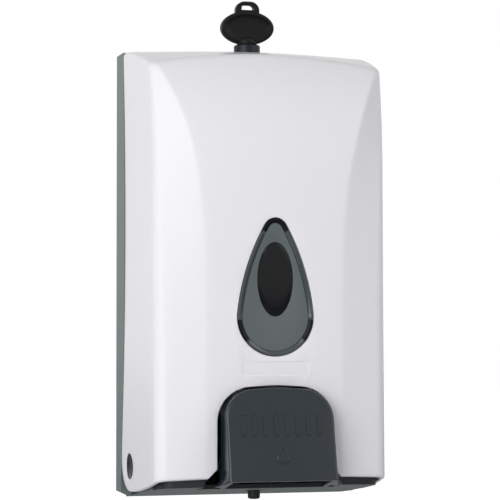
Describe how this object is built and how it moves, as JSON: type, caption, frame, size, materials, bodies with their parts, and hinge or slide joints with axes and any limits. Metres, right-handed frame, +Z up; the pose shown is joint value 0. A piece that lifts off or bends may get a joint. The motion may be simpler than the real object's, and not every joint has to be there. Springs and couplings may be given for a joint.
{
  "type": "wall mounted soap dispenser",
  "caption": "Wall mounted liquid soap dispenser with a locking hinged cover over a refillable tank and a push lever that works a horizontal pump.",
  "frame": {"origin": "on the wall plane, at the middle of the wall plate's width and half way up its height", "axes": "+Z up, +Y into the wall, so the front faces -Y; +X to the right as seen from the front"},
  "size_m": [0.1346, 0.1032, 0.2707],
  "materials": {
    "shell_white": "gloss",
    "plate_grey": "satin",
    "lever_grey": "satin",
    "tank_natural": "translucent",
    "lid_natural": "satin",
    "pump_white": "satin",
    "seal_rubber": "matt",
    "steel": "brushed",
    "window_rim": "satin",
    "window_grey": "satin",
    "smoked": "gloss",
    "collar_grey": "satin",
    "black_plastic": "satin"
  },
  "bodies": {
    "base": {"back_plate": "plate_grey", "hinge_pin_left": "lever_grey", "hinge_pin_right": "lever_grey", "tank": "tank_natural", "tank_lid": "lid_natural", "lid_seal": "seal_rubber", "union_nut": "lever_grey", "neck_seal": "seal_rubber", "pump_body": "pump_white", "inlet_valve": "seal_rubber", "outlet_valve": "seal_rubber", "nozzle": "lever_grey", "pump_cap": "lever_grey", "pump_spring": "steel", "pump_screws": "steel", "lock_strike": "steel", "strike_screws": "steel"},
    "cover": {"front_cover": "shell_white", "window_frame": "window_rim", "window_plate": "window_grey", "sight_glass": "smoked", "window_clips": "black_plastic", "lock_bush": "collar_grey", "lock_nut": "steel", "lever_rod": "steel"},
    "lever": {"push_lever": "lever_grey"},
    "pump_plunger": {"plunger": "pump_white", "piston_seal": "seal_rubber"},
    "lock": {"lock_barrel": "steel", "lock_cam": "steel", "cam_screw": "steel"},
    "door_key": {"key": "black_plastic"}
  },
  "joints": [
    {"name": "cover_hinge", "type": "hinge", "parent": "base", "child": "cover", "pos_m": [0, -0.0305, -0.10215], "axis": [1, 0, 0], "range_deg": [0, 90]},
    {"name": "lever_push", "type": "hinge", "parent": "cover", "child": "lever", "pos_m": [0, -0.078, -0.06015], "axis": [1, 0, 0], "range_deg": [0, 12], "stiffness_Nm_per_rad": 0.7, "springref_deg": -3.44},
    {"name": "plunger_slide", "type": "slide", "parent": "base", "child": "pump_plunger", "axis": [0, 1, 0], "range_m": [0, 0.0071], "deforming": ["pump_spring"]},
    {"name": "lock_turn", "type": "hinge", "parent": "cover", "child": "lock", "pos_m": [0, -0.026, 0.11415], "axis": [0, 0, -1], "range_deg": [0, 90]},
    {"name": "key_pull", "type": "slide", "parent": "lock", "child": "door_key", "axis": [0, 0, 1], "range_m": [0, 0.03]}
  ],
  "couplings": [
    {"joint": "plunger_slide", "follows": "lever_push", "m_per_rad": 0.03375}
  ]
}
